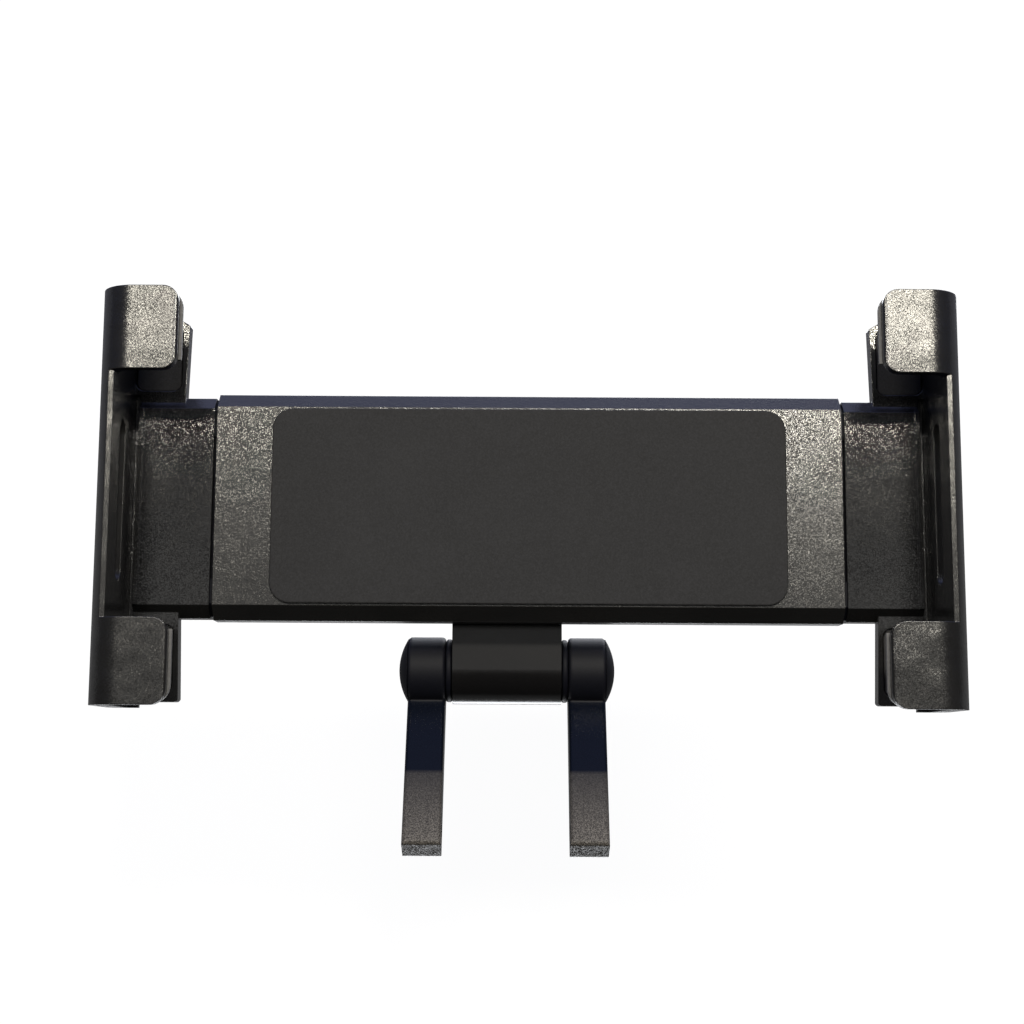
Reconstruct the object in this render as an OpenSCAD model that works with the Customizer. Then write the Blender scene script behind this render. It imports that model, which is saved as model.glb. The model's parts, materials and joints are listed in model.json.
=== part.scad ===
// Sprung tablet holder on a two-armed hinge fork.
// Right is +X, the front faces -Y and up is +Z. The origin is the middle of the fork's lower cross bore.

/* [Body] */
// Width of the body, end to end
body_w = 130; // [124:1:150]
// Height of the body
body_h = 47.5; // [46:0.5:56]
// Size of the bevel along the front edges
front_bevel = 3; // [2:0.1:3.6]
// Size of the bevel along the back edges
back_bevel = 3.4; // [2:0.1:3.6]
// Thickness of the front face
face_wall = 2; // [1.6:0.1:2.4]
// Thickness of the top and bottom walls
side_wall = 2.4; // [1.8:0.1:2.8]
// Thickness of the end walls
end_wall = 2; // [1.6:0.1:3]
// Thickness of the back cover's plate
cover_wall = 2.1; // [1.6:0.1:3]
// Depth at which front shell and back cover meet
split_y = 7; // [6.4:0.1:7.6]

/* [Front pad] */
// Width of the rubber pad on the face
pad_w = 106.6; // [80:0.5:116]
// Strip of the face that shows above and below the pad
pad_margin = 0.4; // [0.2:0.1:4]
// Thickness of the pad
pad_t = 0.8; // [0.5:0.1:1.5]
// Corner radius of the pad
pad_r = 4.3; // [2:0.1:8]

/* [Jaw neck] */
// Gap between the body's end and the neck when the jaws are closed
neck_gap = 0.9; // [0.5:0.1:2]
// Width of the neck's face
neck_w = 15.8; // [13:0.1:22]
// How far the neck's outline lies inside the body's
neck_step = 0.5; // [0.3:0.1:1.5]
// How far the neck's face lies behind the body's face
neck_set = 1.8; // [1.2:0.1:2]
// Thickness of the neck in front of the slider
neck_wall = 1.5; // [1.2:0.1:2]
// Size of the bevel on the neck's edges
neck_bevel = 2.6; // [1.5:0.1:2.8]
// Width of the raised strip along the neck's outer edge
strip_w = 1; // [0.6:0.1:2]
// Height of the raised strip
strip_h = 0.4; // [0.2:0.1:0.8]

/* [Jaw] */
// Height of a jaw over both hooks
jaw_h = 83.4; // [80:0.2:100]
// Height of one hook
hook_h = 17; // [14:0.1:17.4]
// How far the hooks reach in front of the body's face
lip_out = 18; // [15:0.1:24]
// Thickness of the front lip
lip_t = 2.2; // [1.8:0.1:3]
// Width of the front lip, from the outer face
lip_w = 16.3; // [13:0.1:17]
// Radius of the lip's free corners
lip_r = 3.2; // [1:0.1:4]
// Rounding of the lip's free edge
lip_edge = 0.8; // [0.3:0.1:1]
// Thickness of the side wall
wall_t = 3.6; // [2.8:0.1:3.8]
// Radius of the outer front corner
corner_r = 7.2; // [5:0.1:8]
// Radius of the outer back corner
rear_r = 2.6; // [1:0.1:3]
// How far the side wall between the hooks stays behind the lips
rim_drop = 1.7; // [0.5:0.1:5]
// Width of the groove between the neck and the side wall
groove_w = 1.3; // [1:0.1:3]
// Length of the cable slot in the side wall
slot_l = 33; // [20:0.5:38]
// Width of the cable slot
slot_w = 5; // [4.6:0.1:7]
// Distance of the slot's middle in front of the body's face
slot_out = 6.6; // [5:0.1:8]

/* [Back lips] */
// Width of a back lip at its end, from the outer face
back_lip_w = 14.7; // [13:0.1:17]
// How much narrower a back lip is at the neck
back_lip_taper = 0.5; // [0:0.1:1]
// How far the back lips lie behind the body's face
back_lip_set = 3.2; // [2.6:0.1:3.6]
// Thickness of a back lip
back_lip_t = 3.3; // [2.8:0.1:3.6]
// How much shorter a back lip is than the hook
back_lip_short = 1.2; // [0:0.1:3]
// Length of the slant across the upper back lips' free corners
slant_w = 2.8; // [1:0.1:4]
// Height of that slant
slant_h = 1.7; // [0.5:0.1:3]
// Radius of the lower back lips' free corners
lower_corner_r = 0.8; // [0.5:0.1:3]
// Width of the raised rim round the pocket
rim_w = 1.3; // [0.8:0.1:2]
// Depth of the pocket
pocket_d = 1.8; // [1.2:0.1:2]

/* [Rubber] */
// Thickness of the hook liners
liner_t = 1; // [0.6:0.1:1.5]
// How far a liner stands out past the lip's free edge
liner_proud = 0.5; // [0.2:0.1:1.5]
// Bare strip of the hook past a liner's outer end
liner_inset = 0.3; // [0.2:0.1:2]
// Bare strip of the hook past a liner's inner end
liner_back = 2.2; // [0.5:0.1:4]
// Thickness of the pads in the pockets
lip_pad_t = 1; // [0.6:0.1:1.1]

/* [Sliders] */
// Height of a slider
slider_h = 30; // [29:0.2:31]
// Thickness of a slider over its rails
slider_d = 5.6; // [5.2:0.1:6.4]
// Thickness of the slider's front plate
skin_t = 1.4; // [1:0.1:1.8]
// Height of the slider's edge rails
rail_h = 1.6; // [1.2:0.1:1.8]
// Travel of each jaw
travel = 40; // [20:1:42]

/* [Rack and pinion] */
// Tooth module
gear_module = 0.8; // [0.76:0.01:0.82]
// Number of pinion teeth, an even number
gear_teeth = 16; // [16:2:16]
// Height of a rack bar behind its teeth
bar_h = 2.2; // [1.6:0.1:2.4]
// Play between the teeth, measured along the pitch line
backlash = 0.24; // [0.16:0.02:0.4]
// Radius of the pinion's pin
pin_r = 1.5; // [1:0.1:2]

/* [Springs] */
// Radius of the spring wire
wire_r = 0.25; // [0.2:0.05:0.3]
// Number of turns
turns = 26; // [10:1:30]
// Radius of the pegs that hold the springs
peg_r = 1; // [0.8:0.05:1]

/* [Swivel] */
// Distance of the swivel axis from the body's middle, to the left
swivel_offset = 4.4; // [0:0.1:8]
// Radius of the hinge block's round head
head_r = 15; // [13:0.1:18]
// Thickness of the head and the tongue
head_t = 6; // [5.4:0.1:8]
// Radius of the swivel post
post_r = 6; // [5:0.1:6.5]
// Thickness of the friction disc
disc_t = 0.8; // [0.5:0.1:1.5]
// Thickness of the washer that keeps the head on its post
keeper_t = 1.2; // [0.8:0.1:1.3]

/* [Hinge] */
// Distance of the hinge axis below the swivel axis
axis_drop = 33; // [32:0.5:45]
// Radius of the barrel and the knuckles
barrel_r = 7.15; // [6.6:0.05:8]
// Width of the tongue and the barrel
tongue_w = 23.2; // [20:0.1:28]
// Thickness of a hinge washer
washer_t = 1.3; // [0.8:0.1:2]
// How far a hinge washer's rim lies inside the barrel's
washer_step = 0.4; // [0.2:0.1:1]
// Radius of the hinge bolt
bolt_r = 3; // [2.5:0.1:3.2]
// Radius of the bolt's head and its nut
bolt_head_r = 4.6; // [4:0.1:5]
// Thickness of the bolt's head and its nut
bolt_head_t = 1.8; // [1.4:0.1:2]

/* [Fork] */
// Width of an arm
arm_w = 8; // [7:0.1:10]
// Thickness of an arm
arm_t = 6.8; // [6:0.1:7]
// Length of an arm from the hinge axis
arm_l = 40.2; // [36:0.1:60]
// Lean of the arms towards the front
arm_lean = 27.7; // [20:0.1:30]
// Radius along the arm's edges
arm_edge = 0.8; // [0.3:0.1:1.5]
// Radius of the lower cross bore
pivot_r = 2.1; // [1.5:0.05:2.3]
// Height of the domed end caps
dome_h = 2; // [1:0.1:3]

/* [Hidden] */
$fn = 64;

// Clearances
fit = 0.05;      // a pin or post that turns in its bore
seat = 0.02;     // pieces that are pressed, glued or screwed together
socket_gap = 0.1; // a slider's end in its neck
slide_gap = 0.3; // sliders in their guides
spring_gap = 0.3; // springs beside the slider and the rack
eps = 0.5;       // overlap of joined solids and overshoot of cuts

// Depths in the body, measured back from its face
slider_y = neck_set + neck_wall + 0.1;
slider_back = slider_y + slider_d;
cover_y = slider_back + 0.4;
body_d = cover_y + cover_wall;
gear_gap = 0.6;
gear_y = slider_y + skin_t + gear_gap;
gear_t = slider_back - gear_y;

// Outline of the body and its hollow
half_h = body_h / 2;
face_h = half_h - front_bevel;
end_x = body_w / 2;
inner_x = end_x - end_wall;
inner_h = half_h - side_wall;
hollow_h = face_h + face_wall - side_wall * sqrt(2);
guide_z = slider_h / 2 + slide_gap;
guide_t = 1;

// Screws that join the shells
screw_r = 1;
screw_head_r = 1.75;
screw_head_t = 1.1;
boss_r = 2.2;
boss_z = (guide_z + guide_t + inner_h) / 2;
boss_x = inner_x - boss_r - 0.6;
screw_places = [for (x = [-boss_x, 0, boss_x], z = [-boss_z, boss_z]) [x, z]];

// Places across the jaw, from the body's middle outwards
neck_x = end_x + neck_gap;
neck_end = neck_x + neck_w;
wall_in = neck_end + groove_w;
wall_x = wall_in + wall_t;
lip_x = wall_x - lip_w;
back_lip_x = wall_x - back_lip_w;
neck_half = half_h - neck_step;
neck_y1 = body_d - 0.6;
jaw_top = jaw_h / 2;
hook_z = jaw_top - hook_h;
lip_inner_y = lip_t - lip_out;
inner_r = corner_r - wall_t;
pocket_y = back_lip_set + pocket_d;
back_lip_y1 = back_lip_set + back_lip_t;
back_lip_top = jaw_top - back_lip_short;
pocket_x0 = back_lip_x + rim_w;
pocket_x1 = wall_in;
pocket_z0 = neck_half + rim_w;
pocket_z1 = back_lip_top - slant_h;
pocket_r = 2;

// Slider, rack and pinion
pitch_r = gear_module * gear_teeth / 2;
rack_pitch = PI * gear_module;
addendum = 0.92 * gear_module;
dedendum = 1.25 * gear_module;
pressure = 20;
bar_back = pitch_r + dedendum + bar_h;
slider_x0 = 4.6;
socket_wall = 2.7;
socket_x1 = neck_end - socket_wall;
rack_over = 3;
rack_x0 = -(travel + slider_x0);
rack_x1 = slider_x0 + rack_over;
jaw_screw_x = (neck_x + socket_x1) / 2;
jaw_screw_z = 9;
jaw_screw_end = slider_y + 2;

// Springs in the channels between rack bars and rails
rail_z = slider_h / 2 - rail_h;
spring_z = (rail_z + bar_back) / 2;
spring_r = (rail_z - bar_back) / 2 - spring_gap;
spring_y = (slider_y + skin_t + cover_y) / 2;
anchor_inset = 8;
peg_inset = 3.4;
anchor_x = inner_x - anchor_inset;
peg_x = slider_x0 + peg_inset;

// Swivel and hinge, with depths measured back from the body's face
disc_y = body_d + seat;
head_y = disc_y + disc_t + fit;
head_back = head_y + head_t;
step_t = 2.8;
spring_t = 0.5;
post_y1 = head_y + step_t + spring_t + 0.3;
well_wall = 4.6;
well_r = head_r - well_wall;
swivel_screw_r = 2;
swivel_head_r = 3.7;
swivel_head_t = 2;
axis_y = head_y + barrel_r;
tongue_half = tongue_w / 2;
washer_gap = 0.1;
arm_x0 = tongue_half + washer_t + 2 * washer_gap;
arm_x1 = arm_x0 + arm_w;
flat_half = bolt_r - 0.6;
cap_seat_d = bolt_head_t + 0.8;
eye_r = arm_t / 2;
eye_z = -(arm_l - eye_r);

// Places in the part's frame
hinge_y = -(eye_z * sin(arm_lean) + eye_r * cos(arm_lean));
hinge_z = -eye_z * cos(arm_lean) + eye_r * sin(arm_lean);
face_y = hinge_y - axis_y;
holder_z = hinge_z + axis_drop;

// Places a child that is drawn round the middle of the body's face
module in_holder() {
    translate([swivel_offset, face_y, holder_z]) children();
}

// Places a child that is drawn round the swivel axis at the depth of the body's face
module in_swivel() {
    translate([0, face_y, holder_z]) children();
}

// Places a child that is drawn round the hinge axis with its arm straight down
module in_fork() {
    translate([0, hinge_y, hinge_z]) rotate([-arm_lean, 0, 0]) children();
}

// Extrudes an outline drawn in Y and Z from x0 to x1
module along_x(x0, x1) {
    translate([x0, 0, 0]) rotate([90, 0, 90]) linear_extrude(x1 - x0) children();
}

// Extrudes an outline drawn in X and Z from y0 to y1
module along_y(y0, y1) {
    translate([0, y1, 0]) rotate([90, 0, 0]) linear_extrude(y1 - y0) children();
}

// Extrudes an outline drawn in X and Y from z0 to z1
module along_z(z0, z1) {
    translate([0, 0, z0]) linear_extrude(z1 - z0) children();
}

// Cylinder along Y at x, z
module rod_y(x, z, y0, y1, r) {
    along_y(y0, y1) translate([x, z]) circle(r);
}

// Rectangle with round corners, centred
module round_rect(w, h, r) {
    square([w - 2 * r, h], center = true);
    square([w, h - 2 * r], center = true);
    for (x = [-1, 1], y = [-1, 1]) translate([x * (w / 2 - r), y * (h / 2 - r)]) circle(r);
}

// What rounding takes off a corner whose solid lies towards +X and, times dz, towards -Z
module corner_cut(x, z, r, dz) {
    difference() {
        translate([x - eps, dz > 0 ? z - r : z - eps]) square([r + eps, r + eps]);
        translate([x + r, z - dz * r]) circle(r);
    }
}

// Section of the body in front of the split or behind it
module front_section() {
    polygon([[0, -face_h], [0, face_h], [front_bevel, half_h], [split_y, half_h],
        [split_y, -half_h], [front_bevel, -half_h]]);
}

module back_section() {
    polygon([[split_y, -half_h], [split_y, half_h], [body_d - back_bevel, half_h],
        [body_d, half_h - back_bevel], [body_d, back_bevel - half_h], [body_d - back_bevel, -half_h]]);
}

module hollow_section() {
    hollow_y = face_wall + inner_h - hollow_h;
    polygon([[face_wall, -hollow_h], [face_wall, hollow_h], [hollow_y, inner_h], [cover_y, inner_h],
        [cover_y, -inner_h], [hollow_y, -inner_h]]);
}

// The mouth in both end walls that the sliders pass through
module slider_mouth() {
    translate([slider_y - slide_gap, -guide_z]) square([slider_d + 2 * slide_gap, 2 * guide_z]);
}

module front_shell() {
    color([0.11, 0.11, 0.12]) in_holder() difference() {
        union() {
            difference() {
                along_x(-end_x, end_x) front_section();
                along_x(-inner_x, inner_x) hollow_section();
                along_x(-end_x - eps, end_x + eps) slider_mouth();
            }
            for (s = [-1, 1]) {
                z0 = s > 0 ? guide_z : -guide_z - guide_t;
                along_x(-inner_x - eps, inner_x + eps)
                    translate([face_wall - eps, z0]) square([split_y - face_wall + eps, guide_t]);
            }
            for (p = screw_places) rod_y(p[0], p[1], face_wall - eps, split_y, boss_r);
            rod_y(0, 0, face_wall - eps, gear_y - 0.1, pin_r + 1.4);
        }
        for (p = screw_places) rod_y(p[0], p[1], face_wall + 1.2, split_y + eps, screw_r + seat);
        rod_y(0, 0, face_wall + 0.8, gear_y, pin_r + seat);
    }
}

module back_cover() {
    boss_gap = 4;
    tongue_x0 = boss_r + boss_gap;
    tongue_l = boss_x - 2 * tongue_x0;
    tongue_t = 0.9;
    color([0.11, 0.11, 0.12]) in_holder() difference() {
        union() {
            difference() {
                along_x(-end_x, end_x) back_section();
                along_x(-inner_x, inner_x) hollow_section();
                along_x(-end_x - eps, end_x + eps) slider_mouth();
            }
            for (x0 = [tongue_x0, -tongue_x0 - tongue_l], z0 = [inner_h - tongue_t - 0.1, 0.1 - inner_h])
                along_x(x0, x0 + tongue_l)
                    translate([split_y - 1, z0]) square([cover_y - split_y + 1 + eps, tongue_t]);
            for (p = screw_places) rod_y(p[0], p[1], split_y, cover_y + eps, boss_r);
            for (s = [-1, 1]) rod_y(s * anchor_x, s * spring_z, gear_y, cover_y + eps, peg_r);
            rod_y(0, 0, slider_back + 0.1, cover_y + eps, pin_r + 1.6);
            rod_y(-swivel_offset, 0, body_d - eps, post_y1, post_r);
        }
        for (p = screw_places) {
            rod_y(p[0], p[1], split_y - eps, body_d + eps, screw_r + 0.15);
            rod_y(p[0], p[1], body_d - screw_head_t - 0.1, body_d + eps, screw_head_r + 0.1);
        }
        rod_y(0, 0, slider_back, body_d - 0.6, pin_r + seat);
        rod_y(-swivel_offset, 0, body_d - 0.9, post_y1 + eps, swivel_screw_r + seat);
    }
}

module front_pad() {
    color([0.2, 0.19, 0.18]) in_holder()
        along_y(-pad_t, 0) round_rect(pad_w, 2 * (face_h - pad_margin), pad_r);
}

// Pan head screw along Y with its head towards +Y and a cross recess
module pan_screw(x, z, tip_y, head_y0, r, head_r, head_t) {
    slot = head_r * 0.3;
    difference() {
        union() {
            rod_y(x, z, tip_y, head_y0 + head_t / 2, r);
            rod_y(x, z, head_y0, head_y0 + head_t, head_r);
        }
        for (a = [0, 90]) translate([x, head_y0 + head_t, z]) rotate([0, a, 0])
            cube([head_r * 1.2, head_t, slot], center = true);
    }
}

module shell_screws() {
    head_y0 = body_d - screw_head_t - 0.1;
    color([0.25, 0.25, 0.27]) in_holder() for (p = screw_places)
        pan_screw(p[0], p[1], face_wall + 1.6, head_y0, screw_r, screw_head_r, screw_head_t);
}

// Involute flank: the point at radius r on a tooth that is centred on the Y axis
base_r = pitch_r * cos(pressure);
tip_r = pitch_r + addendum;
root_r = pitch_r - dedendum;
half_tooth = 90 / gear_teeth - backlash / 4 / pitch_r * 180 / PI;
function involute(r) = let (a = acos(base_r / r)) tan(a) * 180 / PI - a;
function flank_angle(r) = half_tooth + involute(pitch_r) - involute(r);
flank_steps = 5;
flank_radii = [for (i = [0:flank_steps]) base_r + (tip_r - base_r) * i / flank_steps];
function polar(r, a) = [r * sin(a), r * cos(a)];
function tooth(c) = concat(
    [polar(root_r, c - flank_angle(base_r))],
    [for (r = flank_radii) polar(r, c - flank_angle(r))],
    [for (i = [flank_steps:-1:0]) polar(flank_radii[i], c + flank_angle(flank_radii[i]))],
    [polar(root_r, c + flank_angle(base_r))]);

module pinion() {
    color([0.85, 0.85, 0.8]) in_holder() along_y(gear_y, slider_back) difference() {
        polygon([for (i = [0:gear_teeth - 1]) each tooth(i * 360 / gear_teeth)]);
        circle(pin_r + fit);
    }
}

module pinion_pin() {
    color([0.7, 0.7, 0.72]) in_holder() rod_y(0, 0, face_wall + 0.9, body_d - 0.7, pin_r);
}

// Rack below the pinion, with its teeth up and a tooth space under the pinion's middle
rack_tip = (rack_pitch - backlash) / 4 - addendum * tan(pressure);
rack_root = (rack_pitch - backlash) / 4 + dedendum * tan(pressure);
rack_first = ceil((rack_x0 + rack_root) / rack_pitch - 0.5);
rack_last = floor((rack_x1 - rack_root) / rack_pitch - 0.5);
function rack_tooth(c) = [[c - rack_root, -pitch_r - dedendum], [c - rack_tip, -pitch_r + addendum],
    [c + rack_tip, -pitch_r + addendum], [c + rack_root, -pitch_r - dedendum]];

module rack_outline() {
    polygon(concat(
        [[rack_x0, -bar_back], [rack_x0, -pitch_r - dedendum]],
        [for (i = [rack_first:rack_last]) each rack_tooth((i + 0.5) * rack_pitch)],
        [[rack_x1, -pitch_r - dedendum], [rack_x1, -bar_back]]));
}

// The right slider; the left one is the same piece turned half round about Y
module slider() {
    end_gap = 0.15;
    difference() {
        union() {
            along_x(slider_x0, socket_x1)
                translate([slider_y, -slider_h / 2]) square([skin_t, slider_h]);
            for (z0 = [-slider_h / 2, rail_z]) along_x(slider_x0, socket_x1)
                translate([slider_y, z0]) square([slider_d, rail_h]);
            along_x(neck_x + end_gap, socket_x1)
                translate([slider_y, -slider_h / 2]) square([slider_d, slider_h]);
            along_x(slider_x0, neck_x + end_gap + eps)
                translate([slider_y, -bar_back]) square([slider_d, bar_h]);
            along_y(gear_y, slider_back) rack_outline();
            rod_y(peg_x, -spring_z, slider_y, cover_y - 0.7, peg_r);
        }
        for (s = [-1, 1])
            rod_y(jaw_screw_x, s * jaw_screw_z, jaw_screw_end - 0.3, slider_back + eps, screw_r + seat);
    }
}

module right_slider() {
    color([0.16, 0.16, 0.17]) in_holder() slider();
}

module left_slider() {
    color([0.16, 0.16, 0.17]) in_holder() rotate([0, 180, 0]) slider();
}

// Outline in X and Y, open to the left, with a front corner radius rf and a back corner radius rb
module side_outline(x0, x1, y0, y1, rf, rb) {
    translate([x0, y0]) square([x1 - rf - x0, y1 - y0]);
    translate([x1 - rf, y0 + rf]) square([rf, y1 - rb - y0 - rf]);
    translate([x1 - rf, y0 + rf]) square([rf - rb, y1 - y0 - rf]);
    translate([x1 - rf, y0 + rf]) circle(rf);
    translate([x1 - rb, y1 - rb]) circle(rb);
}

// Plan of a hook: front lip, round corner and side wall
module hook_plan() {
    difference() {
        side_outline(lip_x, wall_x, -lip_out, back_lip_y1, corner_r, rear_r);
        corner_cut(lip_x, -lip_out, lip_edge, -1);
        intersection() {
            side_outline(lip_x - eps, wall_in, lip_inner_y, back_lip_y1 + 3 * rear_r, inner_r, rear_r);
            translate([lip_x - eps, -lip_out]) square([lip_w + eps, lip_out + pocket_y]);
        }
        translate([lip_x - eps, 0]) square([wall_in - rear_r - lip_x + eps, back_lip_y1 + eps]);
    }
}

// Plan of the side wall between the hooks
module rim_plan() {
    intersection() {
        side_outline(lip_x, wall_x, -lip_out, back_lip_y1, corner_r, rear_r);
        translate([wall_in, rim_drop - lip_out]) square([wall_t + eps, lip_out + back_lip_y1]);
    }
}

module neck_section() {
    nf = neck_half - neck_bevel;
    polygon([[neck_set, -nf], [neck_set, nf], [neck_set + neck_bevel, neck_half],
        [neck_y1 - neck_bevel, neck_half], [neck_y1, nf],
        [neck_y1, -nf], [neck_y1 - neck_bevel, -neck_half], [neck_set + neck_bevel, -neck_half]]);
}

module cable_slot() {
    translate([-slot_out, 0]) {
        square([slot_w, slot_l - slot_w], center = true);
        for (s = [-1, 1]) translate([0, s * (slot_l - slot_w) / 2]) circle(slot_w / 2);
    }
}

// What the slope at the upper or lower end of the side wall takes off, in Y and Z
module end_slope(dz) {
    y0 = corner_r - lip_out;
    fall = back_lip_short * (back_lip_y1 + eps - y0) / (back_lip_y1 - y0);
    polygon([[y0, dz * jaw_top], [back_lip_y1 + eps, dz * (jaw_top - fall)],
        [back_lip_y1 + eps, dz * (jaw_top + eps)], [y0, dz * (jaw_top + eps)]]);
}

// Front view of the back lip above the neck (dz = 1) or below it (dz = -1)
module back_lip_outline(dz) {
    z0 = neck_half - 2;
    slant = dz > 0 ? [[back_lip_x, back_lip_top - slant_h], [back_lip_x + slant_w, back_lip_top]]
        : [[back_lip_x, -back_lip_top]];
    difference() {
        polygon(concat([[back_lip_x + back_lip_taper, dz * z0]], slant,
            [[wall_in + eps, dz * back_lip_top], [wall_in + eps, dz * z0]]));
        if (dz < 0) corner_cut(back_lip_x, -back_lip_top, lower_corner_r, dz);
    }
}

module pocket_outline(dz, gap) {
    translate([(pocket_x0 + pocket_x1) / 2, dz * (pocket_z0 + pocket_z1) / 2])
        round_rect(pocket_x1 - pocket_x0 - 2 * gap, pocket_z1 - pocket_z0 - 2 * gap, pocket_r - gap);
}

// The right jaw; the left one is its mirror image
module jaw() {
    difference() {
        union() {
            for (dz = [-1, 1]) {
                along_z(dz > 0 ? hook_z : -jaw_top, dz > 0 ? jaw_top : -hook_z) hook_plan();
                along_y(back_lip_set, back_lip_y1) back_lip_outline(dz);
            }
            along_z(-hook_z - eps, hook_z + eps) rim_plan();
            along_x(neck_x, wall_in + eps) neck_section();
            along_x(neck_end - strip_w, neck_end) translate([neck_set - strip_h, neck_bevel - neck_half])
                square([strip_h + eps, 2 * (neck_half - neck_bevel)]);
        }
        for (dz = [-1, 1]) {
            along_y(-lip_out - eps, lip_inner_y + eps) {
                corner_cut(lip_x, dz * jaw_top, lip_r, dz);
                corner_cut(lip_x, dz * hook_z, lip_r, -dz);
            }
            along_y(neck_set - strip_h - eps, pocket_y) pocket_outline(dz, 0);
            rod_y(jaw_screw_x, dz * jaw_screw_z, slider_y, neck_y1 + eps, screw_r + 0.15);
            rod_y(jaw_screw_x, dz * jaw_screw_z, neck_y1 - screw_head_t, neck_y1 + eps, screw_head_r + 0.1);
        }
        along_y(neck_set - strip_h - eps, pocket_y)
            translate([neck_end, -neck_half - eps]) square([groove_w, 2 * (neck_half + eps)]);
        along_x(neck_x - eps, socket_x1 + socket_gap)
            translate([slider_y - socket_gap, -slider_h / 2 - socket_gap])
                square([slider_d + socket_gap + seat, slider_h + 2 * socket_gap]);
        along_x(wall_in - eps, wall_x + eps) cable_slot();
        for (dz = [-1, 1]) along_x(wall_in - rear_r, wall_x + eps) end_slope(dz);
    }
}

module right_jaw() {
    color([0.13, 0.13, 0.14]) in_holder() jaw();
}

module left_jaw() {
    color([0.13, 0.13, 0.14]) in_holder() mirror([1, 0, 0]) jaw();
}

module jaw_screws() {
    for (s = [-1, 1]) pan_screw(jaw_screw_x, s * jaw_screw_z, jaw_screw_end, neck_y1 - screw_head_t,
        screw_r, screw_head_r, screw_head_t);
}

module right_jaw_screws() {
    color([0.25, 0.25, 0.27]) in_holder() jaw_screws();
}

module left_jaw_screws() {
    color([0.25, 0.25, 0.27]) in_holder() mirror([1, 0, 0]) jaw_screws();
}

// Rubber strip that lines a hook: along the lip, round the corner and down the side wall
module liner(dz) {
    x0 = lip_x - liner_proud;
    z0 = hook_z + liner_back;
    z1 = jaw_top - liner_inset;
    r = lip_r + liner_proud;
    difference() {
        along_z(dz > 0 ? z0 : -z1, dz > 0 ? z1 : -z0) difference() {
            side_outline(x0, wall_in - seat, lip_inner_y + seat, back_lip_set, inner_r - seat, 0.5);
            side_outline(x0 - eps, wall_in - liner_t, lip_inner_y + liner_t, back_lip_set + 2,
                inner_r - liner_t, 0.5);
            translate([x0 - eps, -slot_out - slot_w / 2]) square([lip_w + eps, lip_out]);
        }
        along_y(-lip_out, lip_inner_y + liner_t + eps) {
            corner_cut(x0, dz * z1, r, dz);
        }
    }
}

module right_upper_liner() {
    color([0.3, 0.3, 0.3]) in_holder() liner(1);
}

module right_lower_liner() {
    color([0.3, 0.3, 0.3]) in_holder() liner(-1);
}

module left_upper_liner() {
    color([0.3, 0.3, 0.3]) in_holder() mirror([1, 0, 0]) liner(1);
}

module left_lower_liner() {
    color([0.3, 0.3, 0.3]) in_holder() mirror([1, 0, 0]) liner(-1);
}

module lip_pad(dz) {
    along_y(pocket_y - lip_pad_t, pocket_y) pocket_outline(dz, 0.3);
}

module right_upper_lip_pad() {
    color([0.22, 0.22, 0.22]) in_holder() lip_pad(1);
}

module right_lower_lip_pad() {
    color([0.22, 0.22, 0.22]) in_holder() lip_pad(-1);
}

module left_upper_lip_pad() {
    color([0.22, 0.22, 0.22]) in_holder() mirror([1, 0, 0]) lip_pad(1);
}

module left_lower_lip_pad() {
    color([0.22, 0.22, 0.22]) in_holder() mirror([1, 0, 0]) lip_pad(-1);
}

// Tension spring from the cover's peg on the left to the right slider's peg: a wire swept along a helix,
// with an eye at each end
coil_r = spring_r - wire_r;
eye_ring_r = peg_r + wire_r + fit;
coil_x0 = -anchor_x + eye_ring_r + coil_r;
coil_x1 = peg_x - eye_ring_r - coil_r;
turn_steps = 8;
wire_sides = 5;
ring_count = turns * turn_steps;
function coil_point(a, r) = [coil_x0 + (coil_x1 - coil_x0) * a / 360 / turns,
    spring_y + r * cos(a), r * sin(a) - spring_z];
function wire_ring(a) = [for (k = [0:wire_sides - 1]) let (b = 360 * k / wire_sides)
    coil_point(a, coil_r + wire_r * cos(b)) - [wire_r * sin(b), 0, 0]];
function wire_side(i, k) = let (m = (k + 1) % wire_sides, p = i * wire_sides, q = p + wire_sides)
    [[p + k, q + k, q + m], [p + k, q + m, p + m]];

module spring() {
    polyhedron(
        points = [for (i = [0:ring_count]) each wire_ring(i * 360 / turn_steps)],
        faces = concat(
            [[for (k = [0:wire_sides - 1]) k]],
            [for (i = [0:ring_count - 1], k = [0:wire_sides - 1]) each wire_side(i, k)],
            [[for (k = [wire_sides - 1:-1:0]) ring_count * wire_sides + k]]));
    for (e = [[-anchor_x, coil_x0, 1], [peg_x, coil_x1, -1]]) {
        x0 = e[0] + e[2] * eye_ring_r;
        translate([e[0], spring_y, -spring_z]) rotate([90, 0, 0]) rotate_extrude($fn = 20)
            translate([eye_ring_r, 0]) circle(wire_r, $fn = 6);
        along_x(min(x0, e[1]), max(x0, e[1]))
            translate([spring_y, -spring_z]) circle(wire_r, $fn = 6);
        translate([e[1], spring_y + coil_r / 2, -spring_z])
            cube([1.6 * wire_r, coil_r + wire_r, 1.6 * wire_r], center = true);
    }
}

module right_spring() {
    color([0.75, 0.75, 0.77]) in_holder() spring();
}

module left_spring() {
    color([0.75, 0.75, 0.77]) in_holder() rotate([0, 180, 0]) spring();
}

module friction_disc() {
    color([0.3, 0.27, 0.22]) in_swivel() along_y(disc_y, disc_y + disc_t) difference() {
        circle(head_r - 0.8);
        circle(post_r + fit);
    }
}

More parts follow.
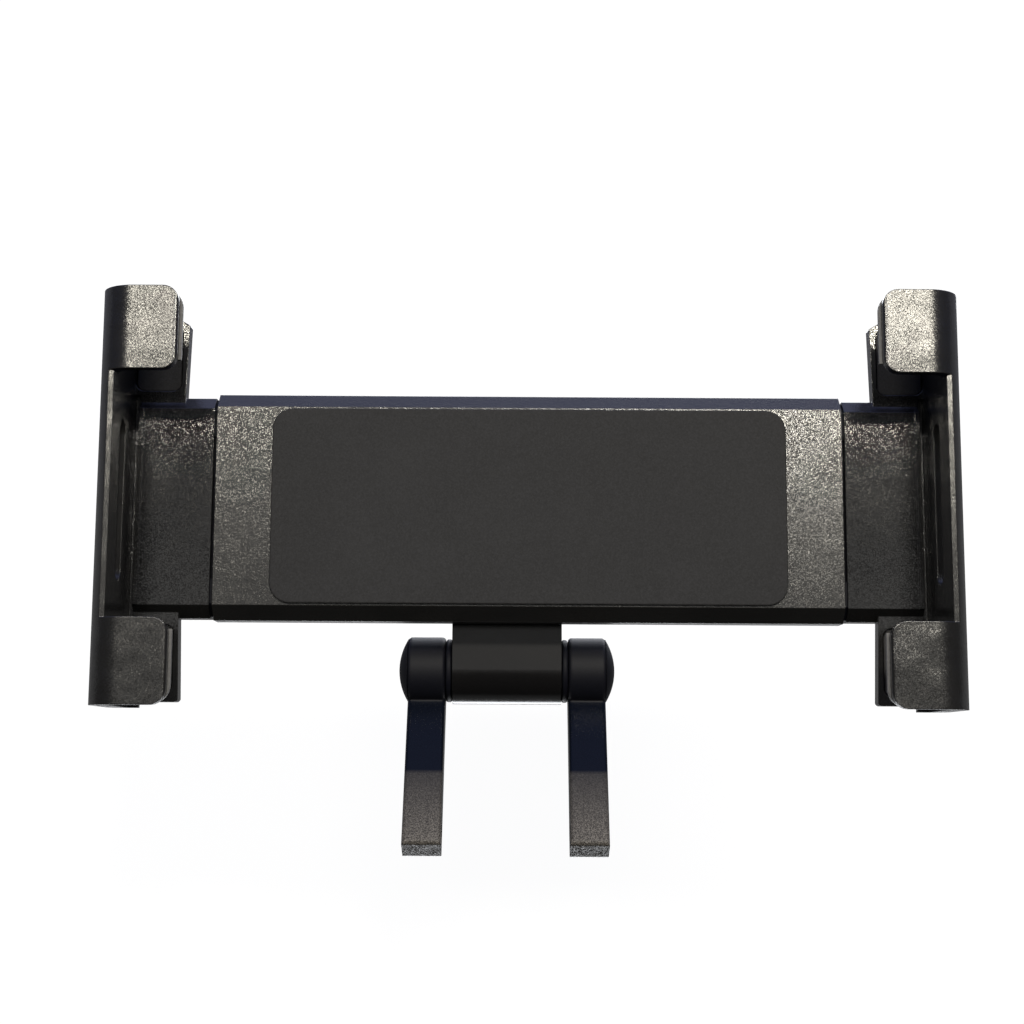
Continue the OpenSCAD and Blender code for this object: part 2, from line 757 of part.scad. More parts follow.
module hinge_block() {
    color([0.12, 0.12, 0.14]) in_swivel() difference() {
        union() {
            rod_y(0, 0, head_y, head_back, head_r);
            along_y(head_y, head_back)
                translate([-tongue_half, -axis_drop]) square([tongue_w, axis_drop]);
            along_x(-tongue_half, tongue_half) translate([axis_y, -axis_drop]) circle(barrel_r);
        }
        rod_y(0, 0, head_y - eps, head_back, post_r + fit);
        rod_y(0, 0, head_y + step_t, head_back + eps, well_r);
        along_x(-tongue_half - eps, tongue_half + eps) translate([axis_y, -axis_drop]) circle(bolt_r + fit);
    }
}

// Conical spring washer that presses the head on the friction disc
module disc_spring() {
    y0 = head_y + step_t + seat;
    y1 = post_y1 - seat;
    r0 = post_r + 0.2;
    r1 = well_r - 0.4;
    color([0.6, 0.6, 0.62]) in_swivel() rotate([-90, 0, 0]) rotate_extrude()
        polygon([[r0, y1 - spring_t], [r1, y0], [r1, y0 + spring_t], [r0, y1]]);
}

module keeper_washer() {
    color([0.65, 0.65, 0.67]) in_swivel() along_y(post_y1, post_y1 + keeper_t) difference() {
        circle(well_r - 0.5);
        circle(swivel_screw_r + 0.1);
    }
}

module swivel_screw() {
    color([0.3, 0.3, 0.32]) in_swivel()
        pan_screw(0, 0, body_d - 0.7, post_y1 + keeper_t, swivel_screw_r, swivel_head_r, swivel_head_t);
}

// Shallow dome of radius r and height h on the plane z = 0
module dome(r, h) {
    ball_r = (r * r + h * h) / (2 * h);
    rotate_extrude() intersection() {
        translate([0, h - ball_r]) circle(ball_r, $fn = 360);
        square([r, h]);
    }
}

// Snap-in cap that closes the back of the head
module rear_cap() {
    cap_r = well_r + 2;
    rise = post_y1 + keeper_t + swivel_head_t + 1.6 - head_back;
    ring_r = well_r - seat;
    plug_l = 1;
    color([0.12, 0.12, 0.13]) in_swivel() translate([0, head_back, 0]) rotate([-90, 0, 0]) difference() {
        union() {
            dome(cap_r, rise);
            translate([0, 0, -plug_l]) cylinder(r = ring_r, h = plug_l + 0.4);
        }
        translate([0, 0, -plug_l - eps]) cylinder(r = ring_r - 1, h = plug_l + eps + 0.2);
        translate([0, 0, -plug_l]) cylinder(r = swivel_head_r + 1, h = plug_l + rise - 1);
    }
}

// Ring about the hinge axis with rounded rims
module round_ring(x0, x1, r_in, r_out, edge) {
    rotate([0, 90, 0]) rotate_extrude() {
        translate([r_in, x0]) square([r_out - edge - r_in, x1 - x0]);
        translate([r_in, x0 + edge]) square([r_out - r_in, x1 - x0 - 2 * edge]);
        for (x = [x0 + edge, x1 - edge]) translate([r_out - edge, x]) circle(edge, $fn = 32);
    }
}

module hinge_washer(s) {
    x0 = tongue_half + washer_gap;
    color([0.16, 0.16, 0.18]) translate([0, hinge_y, hinge_z])
        round_ring(s > 0 ? x0 : -x0 - washer_t, s > 0 ? x0 + washer_t : -x0, bolt_r + fit,
            barrel_r - washer_step, washer_t * 0.4);
}

module left_hinge_washer() {
    hinge_washer(-1);
}

module right_hinge_washer() {
    hinge_washer(1);
}

// Outline of the bolt's flattened stretches, larger all round by gap
module bolt_flats(gap) {
    intersection() {
        circle(bolt_r + gap);
        square([2 * (flat_half + gap), 3 * bolt_r], center = true);
    }
}

// Bolt through barrel and arms, with its head in the right arm and flats in both
module hinge_bolt() {
    round_x = arm_x0 - washer_gap;
    floor_x = arm_x1 - cap_seat_d;
    socket_r = 2.2;
    color([0.6, 0.6, 0.62]) in_fork() difference() {
        union() {
            along_x(-round_x, round_x) circle(bolt_r);
            along_x(-floor_x - bolt_head_t, floor_x + eps) bolt_flats(0);
            along_x(floor_x, floor_x + bolt_head_t) circle(bolt_head_r);
        }
        along_x(floor_x + 0.6, floor_x + bolt_head_t + eps) circle(socket_r, $fn = 6);
    }
}

module hinge_nut() {
    floor_x = arm_x1 - cap_seat_d;
    color([0.6, 0.6, 0.62]) in_fork() along_x(-floor_x - bolt_head_t, -floor_x) difference() {
        circle(bolt_head_r, $fn = 6);
        circle(bolt_r + seat);
    }
}

// The right arm; the left one is its mirror image
module arm() {
    difference() {
        union() {
            round_ring(arm_x0, arm_x1, 0, barrel_r, arm_edge);
            intersection() {
                along_x(arm_x0, arm_x1)
                    translate([arm_t / 2, -arm_l / 2]) round_rect(arm_t, arm_l, arm_edge);
                along_z(-arm_l - eps, eps)
                    translate([(arm_x0 + arm_x1) / 2, eye_r]) round_rect(arm_w, arm_t, arm_edge);
            }
        }
        along_x(arm_x0 - eps, arm_x1 + eps) {
            bolt_flats(seat);
            translate([eye_r, eye_z]) circle(pivot_r);
        }
        along_x(arm_x1 - cap_seat_d, arm_x1 + eps) circle(bolt_head_r + 0.1);
    }
}

module right_arm() {
    color([0.14, 0.15, 0.18]) in_fork() arm();
}

module left_arm() {
    color([0.14, 0.15, 0.18]) in_fork() mirror([1, 0, 0]) arm();
}

// Domed cap with a plug that covers the bolt's end
module cap() {
    plug_l = cap_seat_d - bolt_head_t - 0.2;
    translate([arm_x1 + seat, 0, 0]) rotate([0, 90, 0]) {
        dome(barrel_r - 0.3, dome_h);
        translate([0, 0, -plug_l]) cylinder(r = bolt_head_r + 0.1 - seat, h = plug_l + eps);
    }
}

module right_cap() {
    color([0.13, 0.13, 0.14]) in_fork() cap();
}

module left_cap() {
    color([0.13, 0.13, 0.14]) in_fork() mirror([1, 0, 0]) cap();
}

front_shell();
back_cover();
front_pad();
shell_screws();
pinion();
pinion_pin();
left_spring();
right_spring();
left_jaw();
right_jaw();
left_slider();
right_slider();
left_jaw_screws();
right_jaw_screws();
left_upper_liner();
left_lower_liner();
right_upper_liner();
right_lower_liner();
left_upper_lip_pad();
left_lower_lip_pad();
right_upper_lip_pad();
right_lower_lip_pad();
friction_disc();
disc_spring();
keeper_washer();
swivel_screw();
hinge_block();
rear_cap();
left_hinge_washer();
right_hinge_washer();
hinge_bolt();
hinge_nut();
left_arm();
right_arm();
left_cap();
right_cap();
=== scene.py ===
"""Looks of the sprung tablet holder: materials, rubber pad, neck lips, stage, lights and camera."""

import json
import math

import bmesh
import bpy
from mathutils import Matrix, Vector


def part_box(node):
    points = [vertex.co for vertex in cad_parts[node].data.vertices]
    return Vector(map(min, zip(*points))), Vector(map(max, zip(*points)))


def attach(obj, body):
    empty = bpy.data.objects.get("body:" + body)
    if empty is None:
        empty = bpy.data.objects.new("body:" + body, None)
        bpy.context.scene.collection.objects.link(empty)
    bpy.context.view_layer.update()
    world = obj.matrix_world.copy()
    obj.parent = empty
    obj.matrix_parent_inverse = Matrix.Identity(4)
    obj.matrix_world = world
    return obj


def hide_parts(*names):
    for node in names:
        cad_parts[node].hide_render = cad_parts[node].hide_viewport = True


MM = 0.001

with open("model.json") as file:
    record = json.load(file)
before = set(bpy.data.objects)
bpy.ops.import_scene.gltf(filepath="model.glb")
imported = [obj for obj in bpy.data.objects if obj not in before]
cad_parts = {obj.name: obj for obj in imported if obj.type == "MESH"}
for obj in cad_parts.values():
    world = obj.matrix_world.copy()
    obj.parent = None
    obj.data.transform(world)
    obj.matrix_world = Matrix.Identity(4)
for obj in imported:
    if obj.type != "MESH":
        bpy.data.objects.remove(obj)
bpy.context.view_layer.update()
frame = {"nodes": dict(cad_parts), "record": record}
scene = bpy.context.scene
scene.view_settings.view_transform = "Standard"

# Middle of the body's flat face, and what the zones of the looks are measured from.
shell_low, shell_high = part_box("front_shell")
pad_low, pad_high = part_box("front_pad")
FACE = Vector(((shell_low.x + shell_high.x) / 2, shell_low.y, (shell_low.z + shell_high.z) / 2))
PAD_MARGIN = 0.4 * MM
FACE_HALF = (pad_high.z - pad_low.z) / 2 + PAD_MARGIN
WALL_DEPTH = 3.9 * MM
WALL_INSIDE = (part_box("right_jaw")[1].x - FACE.x) - WALL_DEPTH
KNUCKLE_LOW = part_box("left_cap")[0].z - 0.2 * MM
KNUCKLE_FADE = 0.8 * MM
NECK_FADE_X, NECK_FADE_Y = 0.3 * MM, 1.0 * MM
BEVEL_FADE = 0.2 * MM

# Heights where the painted light and coarser grain of the lower arms start below the body's painted shadow,
# have made their step, and are at their strongest.
ARM_PAINTED_LIGHT_START, ARM_PAINTED_LIGHT_STEP, ARM_PAINTED_LIGHT_FULL = 13.2 * MM, 12.4 * MM, -3.0 * MM
ARM_PAINTED_LIGHT_AT_STEP = 0.3
# Below the middle of the body's face: where the look of the lower hooks starts and is complete.
HOOK_START, HOOK_FULL = 24.0 * MM, 26.0 * MM

# Tints that multiply a grey.
WARM = (1.03, 1.0, 0.96)
# Blue tints of the black parts: painted reflection of the blue sky above.
PAINTED_SKY_NAVY = (0.8, 0.88, 1.55)
PAINTED_SKY_INK = (0.6, 0.85, 1.7)
# Warm tint of the painted light on the lower arms.
ARM_PAINTED_LIGHT_TINT = (1.08, 1.0, 0.9)

# Noise of the moulded looks: scales per metre, and heights of the bumps.
PATCH_SCALE, WAVE_SCALE, BROAD_SCALE = 750.0, 130.0, 55.0
FLECKS_PER_GRAIN = 0.8
WAVE_HEIGHT, PATCH_HEIGHT = 0.3 * MM, 0.035 * MM
# Values of the noise between which flecks and smudges come in, and cosines for a softened edge.
FLECK_RANGE = (0.42, 0.66)
SMUDGE_RANGE = (0.45, 0.7)
EDGE_COSINES = (0.99, 0.86)
# How many times lighter than the base the flecks, smudges and edges are; the lighter edges are partly wear
# and partly painted highlight.
FLECK_LIGHT, SMUDGE_LIGHT, WORN_AND_SHEEN_LIGHT = 2.0, 2.2, 2.6
ROUGH_SWING = 0.08

# Turning marks of the steels.
MARK_SCALE = (900.0, 9000.0, 900.0)
MARK_HEIGHT = 0.01 * MM
STEEL_EDGE = 0.12 * MM


class Tree:
    """A material's node tree with short calls for adding and joining nodes."""

    def __init__(self, material):
        material.use_nodes = True
        self.nodes = material.node_tree.nodes
        self.links = material.node_tree.links
        self.nodes.clear()

    def add(self, kind, inputs=None, **settings):
        node = self.nodes.new("ShaderNode" + kind)
        for key, value in settings.items():
            setattr(node, key, value)
        for key, value in (inputs or {}).items():
            self.put(value, node, key)
        return node

    def put(self, value, node, key):
        """Sets an input to a number or colour, or links it where value is a node or (node, output)."""
        if isinstance(value, tuple) and hasattr(value[0], "outputs"):
            self.links.new(value[0].outputs[value[1]], node.inputs[key])
        elif hasattr(value, "outputs"):
            self.links.new(value.outputs[0], node.inputs[key])
        else:
            node.inputs[key].default_value = value

    def math(self, operation, a, b=0.0, clamp=False):
        return self.add("Math", {0: a, 1: b}, operation=operation, use_clamp=clamp)

    def remap(self, value, low, high, to_low=0.0, to_high=1.0):
        return self.add("MapRange", {"Value": value, "From Min": low, "From Max": high,
                                     "To Min": to_low, "To Max": to_high})

    def mix(self, factor, a, b):
        """Mixes two colours. The colour is output 2 of the node."""
        node = self.add("Mix", {"Factor": factor}, data_type="RGBA")
        for index, value in ((6, a), (7, b)):
            if hasattr(value, "outputs"):
                output = 2 if value.bl_idname == "ShaderNodeMix" else 0
                self.links.new(value.outputs[output], node.inputs[index])
            else:
                node.inputs[index].default_value = value
        return node

    def finish(self, shader):
        out = self.add("OutputMaterial")
        self.links.new(shader.outputs[0], out.inputs["Surface"])


def grey(value, tint=(1.0, 1.0, 1.0)):
    return (value * tint[0], value * tint[1], value * tint[2], 1.0)


def object_place(t):
    """The object's own X, Y and Z, in metres."""
    return t.add("SeparateXYZ", {"Vector": (t.add("TexCoord"), "Object")})


def axis_mask(t, axis, start, end):
    """0 before start and 1 after end along the object's own axis."""
    return t.remap((object_place(t), axis), start, end)


def painted_light_on_lower_arms(t):
    """The lower arms, lit by painted light below the body's painted shadow and with a coarser grain: a step
    at the shadow's edge, then a slow rise towards the end.
    """
    step = axis_mask(t, "Z", ARM_PAINTED_LIGHT_START, ARM_PAINTED_LIGHT_STEP)
    rise = t.remap(axis_mask(t, "Z", ARM_PAINTED_LIGHT_STEP, ARM_PAINTED_LIGHT_FULL), 0.0, 1.0, ARM_PAINTED_LIGHT_AT_STEP, 1.0)
    return t.math("MULTIPLY", step, rise)


def knuckle(t):
    """The round upper ends of the arms."""
    return axis_mask(t, "Z", KNUCKLE_LOW, KNUCKLE_LOW + KNUCKLE_FADE)


def neck_zone_painted_shade(t):
    """The jaw's neck and back lips: inside the side wall and behind the front hooks, where the darker base
    is painted shade.
    """
    place = object_place(t)
    across = t.math("ABSOLUTE", t.math("SUBTRACT", (place, "X"), FACE.x))
    inside = t.remap(across, WALL_INSIDE, WALL_INSIDE - NECK_FADE_X)
    behind = t.remap((place, "Y"), FACE.y - NECK_FADE_Y, FACE.y)
    return t.math("MULTIPLY", inside, behind)


def low_hooks(t):
    """The jaws' lower hooks, which have a coarser shine."""
    return axis_mask(t, "Z", FACE.z - HOOK_START, FACE.z - HOOK_FULL)


def bevel_zone(t):
    """The body's bevels, above and below its flat face."""
    off = t.math("ABSOLUTE", t.math("SUBTRACT", (object_place(t), "Z"), FACE.z))
    return t.remap(off, FACE_HALF, FACE_HALF + BEVEL_FADE)


def moulded(name, base, tint=(1, 1, 1), rough=0.5, specular=0.5, grain=0.3, glint=0.05, mottle=0.5,
            wave=0.0, fleck=0.3, smudge=0.15, edge=0.25, wear_and_sheen=0.15, zones=()):
    """A moulded or coated surface with grains that catch the light, mottling, smudges and soft edges,
    lighter partly as wear and partly as painted highlight.

    Grain and edge are in millimetres. Each zone is a mask function and the values that differ inside it.
    """
    material = bpy.data.materials.new(name)
    t = Tree(material)
    masks = [(zone(t), other) for zone, other in zones]

    def level(key, value):
        for mask, other in masks:
            if key in other:
                value = t.remap(mask, 0.0, 1.0, value, other[key])
        return value

    at = (t.add("TexCoord"), "Object")
    fine = t.add("TexNoise", {"Vector": at, "Scale": FLECKS_PER_GRAIN / (grain * MM), "Detail": 3.0,
                              "Roughness": 0.65})
    patches = t.add("TexNoise", {"Vector": at, "Scale": PATCH_SCALE, "Detail": 4.0, "Roughness": 0.6})
    waves = t.add("TexNoise", {"Vector": at, "Scale": WAVE_SCALE, "Detail": 1.0})
    broad = t.add("TexNoise", {"Vector": at, "Scale": BROAD_SCALE, "Detail": 5.0, "Roughness": 0.6,
                               "Distortion": 0.6})
    soft_edge = t.add("Bevel", {"Radius": edge * MM}, samples=8)
    sunken = t.add("Bump", {"Distance": WAVE_HEIGHT, "Height": (waves, 0), "Normal": soft_edge,
                            "Strength": level("wave", wave)})
    bump = t.add("Bump", {"Distance": PATCH_HEIGHT, "Height": (patches, 0), "Normal": sunken,
                          "Strength": level("mottle", mottle)})
    cells = t.add("TexVoronoi", {"Vector": at, "Scale": 1.0 / (grain * MM)})
    tilt = t.add("VectorMath", {0: (cells, "Color"), 1: (0.5, 0.5, 0.5)}, operation="SUBTRACT")
    scaled = t.add("VectorMath", {0: tilt, "Scale": level("glint", glint)}, operation="SCALE")
    tipped = t.add("VectorMath", {0: scaled, 1: bump}, operation="ADD")
    normal = t.add("VectorMath", {0: tipped}, operation="NORMALIZE")
    true_normal = t.add("NewGeometry")
    facing = t.add("VectorMath", {0: soft_edge, 1: (true_normal, "Normal")}, operation="DOT_PRODUCT")
    edge_mask = t.remap((facing, "Value"), *EDGE_COSINES)
    flecks = t.remap((fine, 0), *FLECK_RANGE)
    spread = level("fleck", fleck)

    def speckled(shade, hue):
        dark = t.mix(spread, grey(shade, hue), grey(0.0))
        light = t.mix(spread, grey(shade, hue), grey(shade * FLECK_LIGHT, hue))
        return t.mix(flecks, dark, light)

    colour = speckled(base, tint)
    for mask, other in masks:
        colour = t.mix(mask, colour, speckled(other.get("base", base), other.get("tint", tint)))
    smudges = t.remap((broad, 0), *SMUDGE_RANGE, 0.0, smudge)
    smudged = t.mix(smudges, colour, grey(base * SMUDGE_LIGHT, tint))
    # Lighter edges: partly rubbed wear, partly painted highlight.
    worn_and_sheen = t.mix(t.math("MULTIPLY", edge_mask, wear_and_sheen), smudged, grey(base * WORN_AND_SHEEN_LIGHT, tint))
    roughness = t.math("MULTIPLY_ADD", (broad, 0), ROUGH_SWING)
    t.put(t.math("SUBTRACT", level("rough", rough), ROUGH_SWING / 2), roughness, 2)
    shader = t.add("BsdfPrincipled", {"Roughness": roughness, "Normal": normal,
                                      "Specular IOR Level": specular})
    t.links.new(worn_and_sheen.outputs[2], shader.inputs["Base Color"])
    t.finish(shader)
    return material


def steel(name, base, rough):
    """Plated or blackened steel with fine turning marks."""
    material = bpy.data.materials.new(name)
    t = Tree(material)
    place = t.add("TexCoord")
    stretch = t.add("Mapping", {"Vector": (place, "Object"), "Scale": MARK_SCALE})
    marks = t.add("TexNoise", {"Vector": stretch, "Scale": 1.0, "Detail": 3.0})
    soft_edge = t.add("Bevel", {"Radius": STEEL_EDGE}, samples=6)
    bump = t.add("Bump", {"Strength": 0.25, "Distance": MARK_HEIGHT, "Height": (marks, 0),
                          "Normal": soft_edge})
    colour = t.mix(t.remap((marks, 0), 0.35, 0.65), grey(base * 0.85), grey(base * 1.1))
    roughness = t.remap((marks, 0), 0.3, 0.7, rough - 0.06, rough + 0.08)
    shader = t.add("BsdfPrincipled", {"Roughness": roughness, "Normal": bump, "Metallic": 1.0})
    t.links.new(colour.outputs[2], shader.inputs["Base Color"])
    t.finish(shader)
    return material


looks = {
    "grained_black": moulded(
        "grained black plastic", 0.012, WARM, rough=0.22, specular=0.88, grain=0.14, glint=0.17,
        mottle=0.35, wave=0.15,
        zones=[(bevel_zone, {"base": 0.008, "rough": 0.26, "glint": 0.02, "mottle": 0.1, "wave": 0.0})]),
    "jaw_black": moulded(
        "jaw plastic", 0.012, WARM, rough=0.24, specular=0.88, grain=0.13, glint=0.14, mottle=0.3, wave=0.7,
        zones=[(low_hooks, {"glint": 0.2, "wave": 1.0, "mottle": 0.4}),
               # Necks, back lips and inner wall faces: a smoother finish, and a darker base that is painted
               # shade under and behind the hooks.
               (neck_zone_painted_shade, {"base": 0.005, "rough": 0.12, "glint": 0.13, "mottle": 0.15, "wave": 0.1})]),
    # Navy tint of the black caps, washers and lips: painted reflection of the blue sky.
    "smooth_black": moulded(
        "satin black plastic", 0.006, PAINTED_SKY_NAVY, rough=0.58, specular=0.15, glint=0.01, mottle=0.1, fleck=0.1,
        smudge=0.05, wear_and_sheen=0.0),
    # Blue base tint on the arms and navy on the knuckles: painted reflection of the blue sky.
    "satin_black_metal": moulded(
        "satin black coating", 0.006, PAINTED_SKY_INK, rough=0.2, specular=0.22, grain=0.2, glint=0.01, mottle=0.08,
        fleck=0.15, smudge=0.05, edge=0.7, wear_and_sheen=0.0,
        zones=[(knuckle, {"tint": PAINTED_SKY_NAVY, "rough": 0.58}),
               # Lower arms: a lighter, warm base as painted light, with a coarser grain; the darker upper
               # arms are the body's painted shadow.
               (painted_light_on_lower_arms, {"base": 0.14, "tint": ARM_PAINTED_LIGHT_TINT, "rough": 0.45, "glint": 0.3, "fleck": 0.8})]),
    "charcoal_metal": moulded(
        "charcoal coating", 0.007, (1.0, 0.97, 1.04), rough=0.22, specular=0.5, glint=0.01, mottle=0.1,
        fleck=0.12, smudge=0.08, wear_and_sheen=0.05),
    "pad_rubber": moulded(
        "pad rubber", 0.025, (1.0, 1.0, 1.04), rough=0.8, specular=0.35, grain=0.3, glint=0.2, mottle=0.2,
        fleck=0.15, smudge=0.15, edge=0.2, wear_and_sheen=0.1),
    "liner_rubber": moulded(
        "liner rubber", 0.16, (1.02, 1.0, 0.97), rough=0.55, specular=0.4, grain=0.4, glint=0.04,
        mottle=0.2, fleck=0.12, edge=0.2, wear_and_sheen=0.1),
    "white_acetal": moulded(
        "white acetal", 0.62, (1.0, 0.99, 0.95), rough=0.4, grain=1.0, glint=0.01, mottle=0.1, fleck=0.03,
        smudge=0.03, wear_and_sheen=0.05),
    "brown_fibre": moulded(
        "brown fibre", 0.12, (1.25, 0.95, 0.65), rough=0.8, specular=0.3, grain=0.9, glint=0.2, mottle=0.8,
        fleck=0.45, smudge=0.3),
    "dark_steel": steel("blackened steel", 0.1, 0.42),
    "bright_steel": steel("plated steel", 0.6, 0.3),
}

# A node has the look of its material slot. The jaws' slot is grained_black, and their look is finer.
slot_of = {part["node"]: part["material_slot"] for part in frame["record"]["subparts"]}
look_of = dict(slot_of, left_jaw="jaw_black", right_jaw="jaw_black")
for node_name, obj in frame["nodes"].items():
    obj.data.materials.clear()
    obj.data.materials.append(looks[look_of[node_name]])


def object_from(bm, name, look):
    """A mesh object in one look, from a bmesh that it frees."""
    bmesh.ops.recalc_face_normals(bm, faces=bm.faces)
    mesh = bpy.data.meshes.new(name)
    bm.to_mesh(mesh)
    bm.free()
    mesh.materials.append(looks[look])
    made = bpy.data.objects.new(name, mesh)
    scene.collection.objects.link(made)
    return made


def rounded_loop(half_w, half_h, radius, steps=10):
    """Corner-rounded rectangle in X and Z, counter-clockwise seen from the front."""
    points = []
    for sx, sz, start in ((1, 1, 0), (-1, 1, 90), (-1, -1, 180), (1, -1, 270)):
        for i in range(steps + 1):
            a = math.radians(start + 90.0 * i / steps)
            points.append((sx * (half_w - radius) + radius * math.cos(a),
                           sz * (half_h - radius) + radius * math.sin(a)))
    return points


PAD_ROLL, PAD_CORNER, PAD_ROLL_STEPS = 0.35 * MM, 4.3 * MM, 4


def rubber_pad():
    """The pad on the body's face, with a rolled front edge."""
    centre = (pad_low + pad_high) / 2
    half_w, half_h = (pad_high.x - pad_low.x) / 2, (pad_high.z - pad_low.z) / 2
    thick = pad_high.y - pad_low.y
    rings = [(0.0, 0.0)]
    for i in range(PAD_ROLL_STEPS + 1):
        a = math.radians(90.0 * i / PAD_ROLL_STEPS)
        rings.append((PAD_ROLL * (1 - math.cos(a)), thick - PAD_ROLL + PAD_ROLL * math.sin(a)))
    bm = bmesh.new()
    loops = []
    for inset, rise in rings:
        loop = rounded_loop(half_w - inset, half_h - inset, PAD_CORNER - inset)
        loops.append([bm.verts.new((centre.x + x, pad_high.y - rise, centre.z + z)) for x, z in loop])
    for a, b in zip(loops, loops[1:]):
        for i in range(len(a)):
            j = (i + 1) % len(a)
            bm.faces.new((a[i], a[j], b[j], b[i]))
    bm.faces.new(loops[-1])
    bm.faces.new(list(reversed(loops[0])))
    pad = object_from(bm, "rubber_pad", "pad_rubber")
    for face in pad.data.polygons:
        face.use_smooth = len(face.vertices) == 4
    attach(pad, "holder")
    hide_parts("front_pad")


rubber_pad()

# Neck of a jaw against the body: its face lies behind and its top below the body's, with a bevel.
NECK_SET, NECK_STEP, NECK_BEVEL = 1.8 * MM, 0.5 * MM, 2.6 * MM
LIP_INSET, LIP_REACH, LIP_ROOT = 0.35 * MM, 0.7 * MM, 0.1 * MM


def neck_lip(side):
    """Thin walls on the end of a jaw's neck, above and below its slider, that close the joint."""
    low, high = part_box(side + "_jaw")
    slider_low, slider_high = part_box(side + "_slider")
    inward = 1.0 if side == "left" else -1.0
    end = high.x if side == "left" else low.x
    front, back = FACE.y + NECK_SET + LIP_INSET, high.y - LIP_INSET
    top = (shell_high.z - shell_low.z) / 2 - NECK_STEP - LIP_INSET
    root = (slider_high.z - slider_low.z) / 2 + LIP_ROOT
    outline = [(front, root), (front, top - NECK_BEVEL), (front + NECK_BEVEL, top),
               (back - NECK_BEVEL, top), (back, top - NECK_BEVEL), (back, root)]
    bm = bmesh.new()
    for up in (1, -1):
        ends = [[bm.verts.new((x, y, FACE.z + up * z)) for y, z in outline]
                for x in (end - inward * LIP_ROOT, end + inward * LIP_REACH)]
        for i in range(len(outline)):
            j = (i + 1) % len(outline)
            bm.faces.new((ends[0][i], ends[0][j], ends[1][j], ends[1][i]))
        for loop in ends:
            bm.faces.new(loop)
    lip = object_from(bm, side + "_neck_lip", "smooth_black")
    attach(lip, side + "_jaw_slide_body")


for jaw_side in ("left", "right"):
    neck_lip(jaw_side)


# The ground's own shade, its light for the camera, and the share of it that glossy surfaces show.
GROUND_SHADE, GROUND_GLOW, GROUND_IN_GLOSS = 0.12, 0.96, 0.15


def stage_material():
    """White ground that keeps a soft shadow in front and lets light and views through from behind."""
    material = bpy.data.materials.new("white ground")
    t = Tree(material)
    path = t.add("LightPath")
    side = t.add("NewGeometry")
    diffuse = t.add("BsdfDiffuse", {"Color": grey(GROUND_SHADE)})
    glow = t.add("Emission", {"Color": grey(1.0), "Strength": GROUND_GLOW})
    seen = t.math("ADD", (path, "Is Camera Ray"), (path, "Is Glossy Ray"), clamp=True)
    lit = t.add("AddShader", {0: diffuse, 1: glow})
    front = t.add("MixShader", {0: seen, 1: diffuse, 2: lit})
    dimmed = t.math("MULTIPLY", (path, "Is Glossy Ray"), 1.0 - GROUND_IN_GLOSS)
    behind = t.math("MAXIMUM", (side, "Backfacing"), (path, "Is Shadow Ray"))
    through = t.math("MAXIMUM", behind, dimmed)
    clear = t.add("BsdfTransparent")
    t.finish(t.add("MixShader", {0: through, 1: front, 2: clear}))
    return material


# How far back the holder reaches when it tilts and swivels, with some room, and half the sheet's side.
SWING_BACK = 160 * MM
GROUND_HALF = 2.0


def ground():
    """A pale sheet behind the object, out of reach at every pose."""
    depth, half = SWING_BACK, GROUND_HALF
    mesh = bpy.data.meshes.new("ground")
    corners = [(-half, depth, -half), (half, depth, -half), (half, depth, half), (-half, depth, half)]
    mesh.from_pydata(corners, [], [(0, 1, 2, 3)])
    mesh.materials.append(stage_material())
    plane = bpy.data.objects.new("ground", mesh)
    scene.collection.objects.link(plane)


ground()


# Height of the direction, from -1 straight down to 1 straight up, and the light from there.
SKY = [(-0.15, (0.02, 0.02, 0.02)), (0.0, (0.07, 0.07, 0.07)), (0.17, (0.06, 0.06, 0.07)),
       (0.3, (0.06, 0.07, 0.12)), (0.65, (0.12, 0.17, 0.42)), (1.0, (0.3, 0.34, 0.62))]
# A pale card low in front of the object: its colour, and the directions where it starts and is full.
CARD = (0.8, 0.79, 0.77, 1.0)
CARD_FOOT, CARD_HEAD, CARD_AHEAD = (-0.06, -0.02), (0.12, 0.06), (-0.77, -0.92)


def studio():
    """Dark room below, faintly blue light above, and plain white for the camera."""
    world = bpy.data.worlds.new("studio")
    scene.world = world
    t = Tree(world)
    path = t.add("LightPath")
    toward = t.add("SeparateXYZ", {"Vector": (t.add("TexCoord"), "Generated")})
    sky = t.add("ValToRGB", {"Fac": t.remap((toward, "Z"), -1.0, 1.0)})
    stops = sky.color_ramp.elements
    while len(stops) < len(SKY):
        stops.new(0.5)
    for stop, (height, colour) in zip(stops, SKY):
        stop.position = (height + 1.0) / 2.0
        stop.color = (*colour, 1.0)
    rise = t.remap((toward, "Z"), *CARD_FOOT)
    fall = t.remap((toward, "Z"), *CARD_HEAD)
    ahead = t.remap((toward, "Y"), *CARD_AHEAD)
    card = t.math("MULTIPLY", t.math("MULTIPLY", rise, fall), ahead)
    lit = t.mix(card, sky, CARD)
    ambient = t.add("Background", {"Color": (lit, 2), "Strength": 1.0})
    white = t.add("Background", {"Color": grey(1.0), "Strength": 1.0})
    blend = t.add("MixShader", {0: (path, "Is Camera Ray"), 1: ambient, 2: white})
    out = t.add("OutputWorld")
    t.links.new(blend.outputs[0], out.inputs["Surface"])


studio()

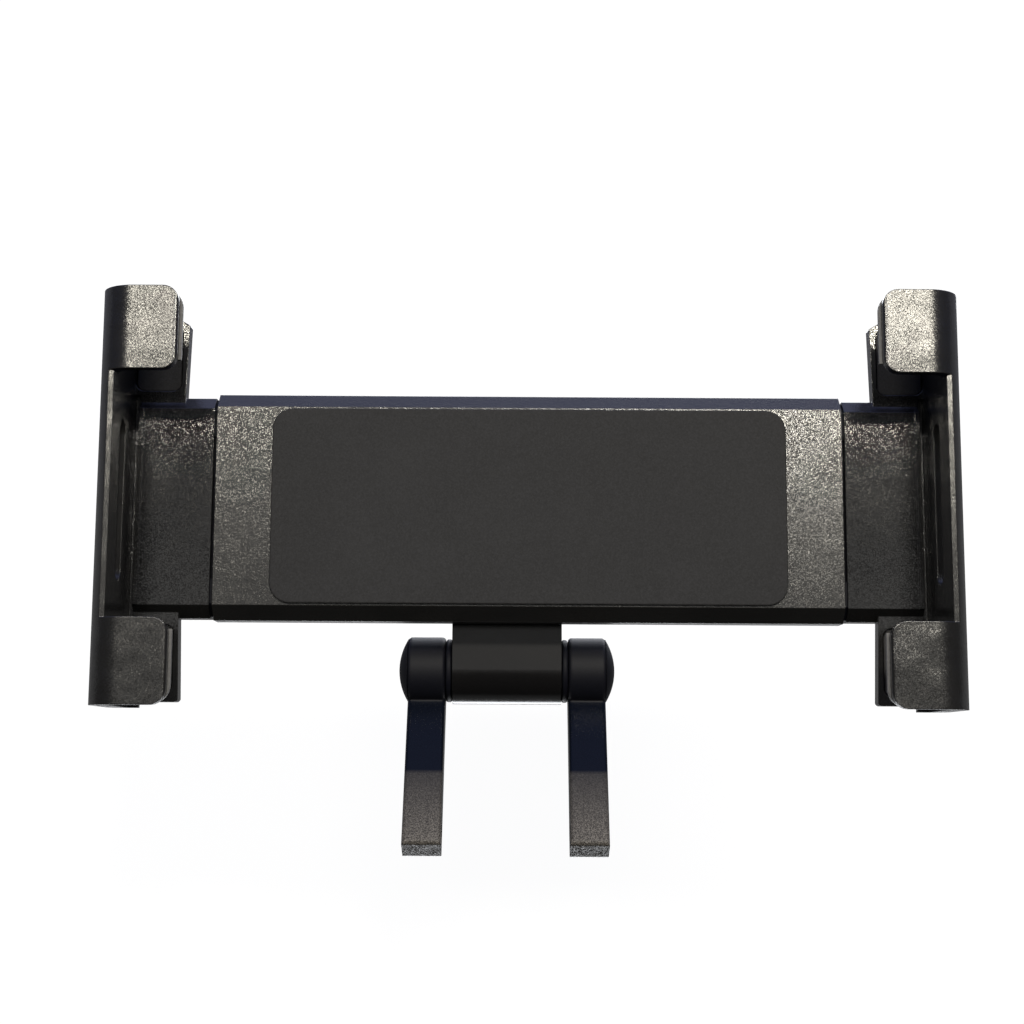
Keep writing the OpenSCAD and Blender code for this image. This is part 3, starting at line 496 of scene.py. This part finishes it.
# Name, offset from the middle of the body's face, width and height in millimetres, watts and colour.
LAMPS = [
    ("key", (59, -703, 281), 50, 50, 1.5, (1.0, 0.96, 0.88)),
    ("left_box", (-287, -703, 291), 188, 74, 2.0, (1.0, 0.94, 0.8)),
    ("right_box", (285, -703, 291), 224, 74, 3.0, (1.0, 0.94, 0.8)),
    ("rear_high", (150, 600, 500), 600, 600, 6.0, (0.95, 0.97, 1.0)),
    ("rear_low", (0, 580, -400), 500, 260, 3.0, (0.95, 0.97, 1.0)),
]


def lamp(name, offset, width, height, power, colour):
    """Area lamp, aimed at the middle of the body's face."""
    data = bpy.data.lights.new(name, "AREA")
    data.shape = "RECTANGLE"
    data.size = width * MM
    data.size_y = height * MM
    data.energy = power
    data.color = colour
    obj = bpy.data.objects.new(name, data)
    obj.location = FACE + Vector(offset) * MM
    obj.rotation_euler = (FACE - obj.location).to_track_quat("-Z", "Y").to_euler()
    scene.collection.objects.link(obj)


for lamp_settings in LAMPS:
    lamp(*lamp_settings)

# The camera's yaw, pitch and roll in degrees, its offset from the face's middle, and its lens.
CAMERA_TURNS = (-0.027, 8.166, 0.339)
CAMERA_OFFSET = Vector((-3.33, -347.79, -51.09)) * MM
LENS, SENSOR_WIDTH = 59.77, 36.0


def photo_camera():
    """The photograph's own view, fitted to the body's corners and hooks."""
    yaw, pitch, roll = (math.radians(a) for a in CAMERA_TURNS)
    forward = Vector((math.sin(yaw) * math.cos(pitch), math.cos(yaw) * math.cos(pitch), math.sin(pitch)))
    level = forward.cross(Vector((0, 0, 1))).normalized()
    upright = level.cross(forward)
    right = level * math.cos(roll) + upright * math.sin(roll)
    up = upright * math.cos(roll) - level * math.sin(roll)
    data = bpy.data.cameras.new("camera")
    data.lens = LENS
    data.sensor_width = SENSOR_WIDTH
    camera = bpy.data.objects.new("camera", data)
    turn = Matrix((right, up, -forward)).transposed().to_4x4()
    camera.matrix_world = Matrix.Translation(FACE + CAMERA_OFFSET) @ turn
    scene.collection.objects.link(camera)
    scene.camera = camera


photo_camera()
